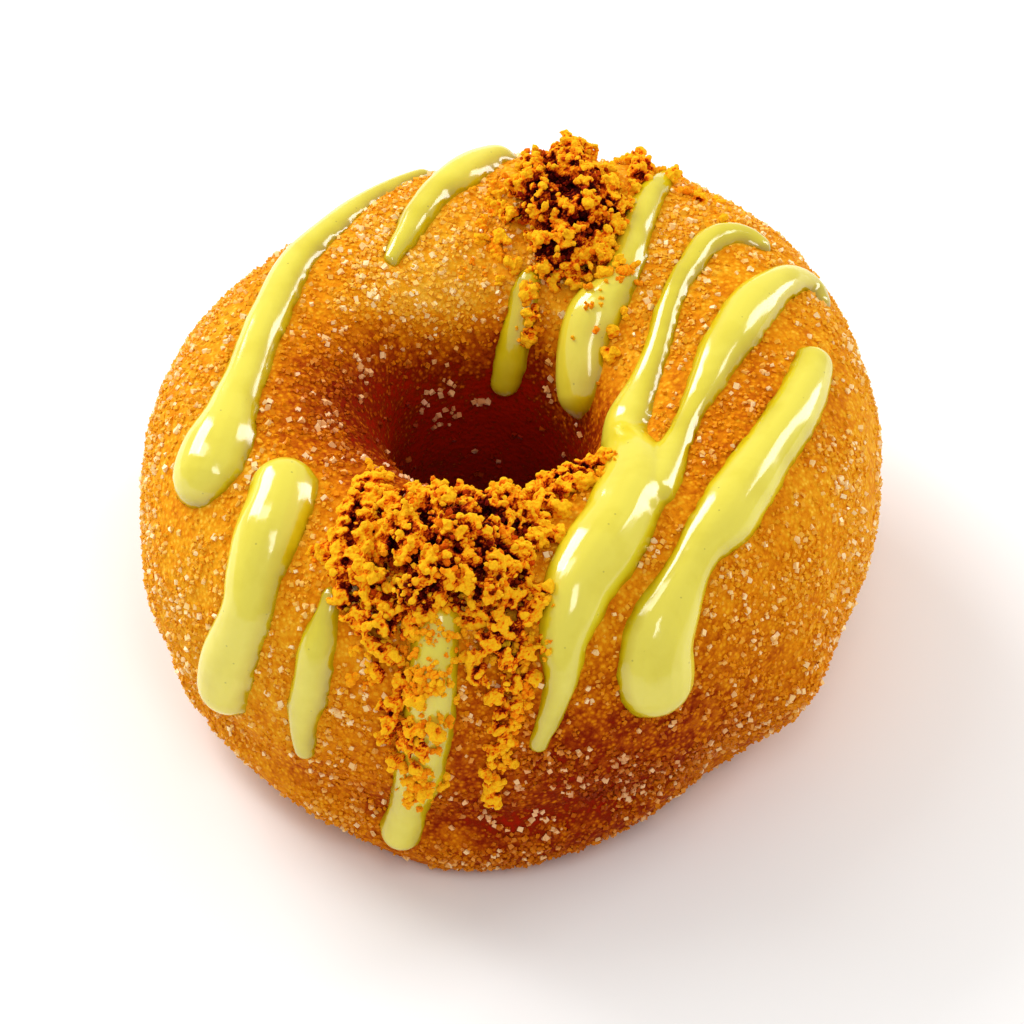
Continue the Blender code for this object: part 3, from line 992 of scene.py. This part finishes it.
def gap_shade_and_tone(mesh, centres, inside, rng):
    """How light run-together clumps are painted at each point: painted shade darkest in the gaps and deep in
    the heap, each clump a bit different.
    """
    own = rng.uniform(-0.12, 0.10, len(centres))
    clump_of = tree_of_points(centres)
    # painted shade: the less is open round a point, the darker it is
    tone_and_shade = 1.28 * openness(mesh, rng) ** 1.4 - 0.12
    for index, place in enumerate(points_of(mesh)):
        tone_and_shade[index] += own[clump_of.find(place)[1]]
        # painted shade deeper under the heap's skin
        if inside:
            near, way, _, _ = inside.find_nearest(Vector(place))
            tone_and_shade[index] -= 0.35 * max((near - Vector(place)).dot(way) / MM - 0.5, 0.0)
    return np.clip(tone_and_shade, 0, 1)


def baked(name, centres, reach, rng, inside=None, core=None):
    """Clumps of small angular grains run together into one skin, with painted shade darkening the gaps
    between them.
    """
    spots, sizes = grains_in_clumps(centres, reach, inside, rng)
    joined = bmesh.new()
    joined.from_mesh(strewn(name, grain_kinds(rng), spots, sizes, {}, rng))
    if core:
        joined.from_mesh(core)
    mesh = bpy.data.meshes.new(name)
    joined.to_mesh(mesh)
    joined.free()
    mesh = remeshed(mesh, HEAP_VOXEL, 0)
    rough = relief(points_of(mesh), CRUMB_RELIEF)
    set_points(mesh, points_of(mesh) + normals_of(mesh) * rough[:, None])
    set_attribute(mesh, "tone_and_shade", gap_shade_and_tone(mesh, centres, inside, rng))
    return mesh


def heap_clumps(heap, rng):
    """Middles and sizes of the clumps that a heap is made of, apart from each other and sunk in it."""
    centres, ways = surface_places(heap, CLUMP_TRIES, rng, on_top)
    apart = spaced(centres, CLUMP_GAP)
    centres, ways = centres[apart], ways[apart]
    filled = lumps(centres, HEAP_VOIDS, 4.0) > -0.25
    centres, ways = centres[filled], ways[filled]
    reach = CLUMP_SIZE[0] + (CLUMP_SIZE[1] - CLUMP_SIZE[0]) * rng.random(len(centres)) ** 2.5
    sunk = reach * rng.uniform(0.05, 0.45, len(centres))
    sunk += np.clip(0.35 + lumps(centres, HEAP_RELIEF[0], 9.0), 0, 1) * HEAP_RELIEF[1]
    return centres - ways * sunk[:, None], reach


def heap_grains(name, core_mesh, count, rng):
    """Fine grains lying on a heap, toned like the clumps under them, their painted shade included."""
    places, normals = surface_places(core_mesh, count, rng, on_top)
    sizes = (0.18 + 0.50 * rng.random(count) ** 2.0) * MM
    places = places + normals * (sizes * 0.25)[:, None]
    clump_shade_and_tone = core_mesh.attributes["tone_and_shade"].data
    tone_and_shade = np.array([clump_shade_and_tone[index].value for index in nearest(core_mesh, places)])
    tone_and_shade = np.clip(tone_and_shade + rng.normal(0.02, 0.12, count), 0, 1)
    return strewn(name, grain_kinds(rng), places, sizes, {"tone_and_shade": tone_and_shade}, rng)


def crumb_heap(name, count, finish, crust_tree, rng):
    """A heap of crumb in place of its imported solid, which is handed back as a closed mesh."""
    heap = joined_heap(name)
    centres, reach = heap_clumps(heap, rng)
    packed = lowered(heap, crust_tree, HEAP_GAPS)
    core_mesh = baked(name + "_core", centres, reach, rng, tree_of(heap), packed)
    core = new_piece(name + "_core", core_mesh, finish, smooth=False)
    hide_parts(name)
    mesh = heap_grains(name + "_grains", core_mesh, count, rng)
    piece = new_piece(name + "_grains", mesh, finish, smooth=False)
    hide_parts(name)
    return heap


def resting(spot, size, crust_tree, sauce_tree):
    """Where a thing of that size lies on the crust or sauce near a spot."""
    near, way, _, _ = crust_tree.find_nearest(Vector(spot))
    on_sauce = sauce_tree.ray_cast(near + way * 4 * MM, -way, 4 * MM)[0]
    return (on_sauce or near) + way * size * 0.22


def crumb_clusters(finish, crust_tree, sauce_tree, rng):
    """The clumps beside the heaps and along the front heap's packed edge, as one skin."""
    around, over, reach = np.array(CLUSTERS).T
    reach = reach * MM
    spots = on_ring(around, over)
    centres = np.array([resting(spot, size, crust_tree, sauce_tree) for spot, size in zip(spots, reach)])
    share = np.linspace(0, 1, RIDGE_CLUMPS)[:, None]
    along = np.array(RIDGE[0]) * (1 - share) + np.array(RIDGE[1]) * share
    for aside, high, size in RIDGE_ROWS:
        around, over = along[:, 0] + aside, along[:, 1]
        centres = np.concatenate([centres, on_ring(around, over) + outward(around, over) * high])
        reach = np.concatenate([reach, np.full(RIDGE_CLUMPS, size)])
    mesh = baked("crumb_clusters", centres, reach, rng)
    new_piece("crumb_clusters", mesh, finish, smooth=False)


def loose_crumbs(finish, crust_tree, sauce_tree, rng):
    """Crumbs strewn in trails below the heaps and stuck on the sauce."""
    places, sizes = [], []
    for start, stop, spread, count in TRAILS:
        share = rng.random(count)[:, None]
        route = np.array(start) * (1 - share) + np.array(stop) * share
        spots = on_ring(route[:, 0], route[:, 1]) + rng.normal(0, spread * MM * 0.42, (count, 3))
        for spot in spots:
            size = (0.30 + 0.90 * rng.random() ** 2.2) * MM
            places.append(resting(spot, size, crust_tree, sauce_tree))
            sizes.append(size)
    kinds = crumb_kinds(rng)
    tone_and_shade = rng.uniform(0.80, 1.0, len(sizes))
    mesh = strewn("loose_crumbs", kinds, np.array(places), np.array(sizes), {"tone_and_shade": tone_and_shade}, rng)
    new_piece("loose_crumbs", mesh, finish, smooth=False)


def crumbs(crust_tree, sauce_tree):
    """Both heaps of crumb, the clumps beside them and the crumbs strewn round them."""
    rng = np.random.default_rng(5)
    finish = crumb_finish()
    heaps = [crumb_heap(name, count, finish, crust_tree, rng) for name, count in HEAPS.items()]
    crumb_clusters(finish, crust_tree, sauce_tree, rng)
    loose_crumbs(finish, crust_tree, sauce_tree, rng)
    return tree_of(*heaps)


# ================================================================ stage

def area_light(name, aim, place, width, height, watts):
    """A soft rectangular light at a place, turned to what it aims at."""
    light = bpy.data.lights.new(name, "AREA")
    light.shape = "RECTANGLE"
    light.size, light.size_y = width, height
    light.energy = watts
    lamp = bpy.data.objects.new(name, light)
    lamp.location = place
    lamp.rotation_euler = (Vector(aim) - Vector(place)).to_track_quat("-Z", "Y").to_euler()
    bpy.context.scene.collection.objects.link(lamp)


def pale_floor():
    """A plain matt floor under the doughnut."""
    shape = bmesh.new()
    bmesh.ops.create_grid(shape, x_segments=1, y_segments=1, size=FLOOR_SIZE / 2)
    mesh = bpy.data.meshes.new("floor")
    shape.to_mesh(mesh)
    shape.free()
    paint = Paint("floor_finish", roughness=0.9)
    paint.shader.inputs["Base Color"].default_value = FLOOR_COLOUR
    mesh.materials.append(paint.material)
    floor = bpy.data.objects.new("floor", mesh)
    bpy.context.scene.collection.objects.link(floor)


def room_light():
    """Even light from all round, nearly white."""
    world = bpy.data.worlds.new("room")
    world.use_nodes = True
    world.node_tree.nodes["Background"].inputs["Color"].default_value = ROOM_COLOUR
    world.node_tree.nodes["Background"].inputs["Strength"].default_value = ROOM_LIGHT
    bpy.context.scene.world = world
    bpy.context.scene.view_settings.view_transform = "Standard"


def front_camera(middle):
    """A camera in front that looks down on the doughnut."""
    elevation = math.radians(CAMERA_ELEVATION)
    camera = bpy.data.cameras.new("camera")
    camera.lens = CAMERA_LENS
    camera.sensor_width = CAMERA_SENSOR
    eye = bpy.data.objects.new("camera", camera)
    back = Vector((0, -math.cos(elevation), math.sin(elevation)))
    aim = Vector((middle.x + CAMERA_AIM_SIDE, middle.y, CAMERA_AIM_HEIGHT))
    eye.location = aim + back * CAMERA_DISTANCE
    eye.rotation_euler = (-back).to_track_quat("-Z", "Y").to_euler()
    bpy.context.scene.collection.objects.link(eye)
    bpy.context.scene.camera = eye


def stage():
    """A pale floor, soft lights and the camera."""
    low, high = cad_box
    middle = (low + high) / 2
    pale_floor()
    for name, (place, width, height, watts) in LIGHTS.items():
        area_light(name, middle, place, width, height, watts)
    room_light()
    front_camera(middle)


crust = crust_mesh()
crust_piece = new_piece("crust", crust, crust_finish())
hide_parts("doughnut")
crust_tree = tree_of(crust)
sauce_tree = sauce(crust_tree)
heap_tree = crumbs(crust_tree, sauce_tree)
sugar(crust, crust_tree, sauce_tree, heap_tree)
stage()
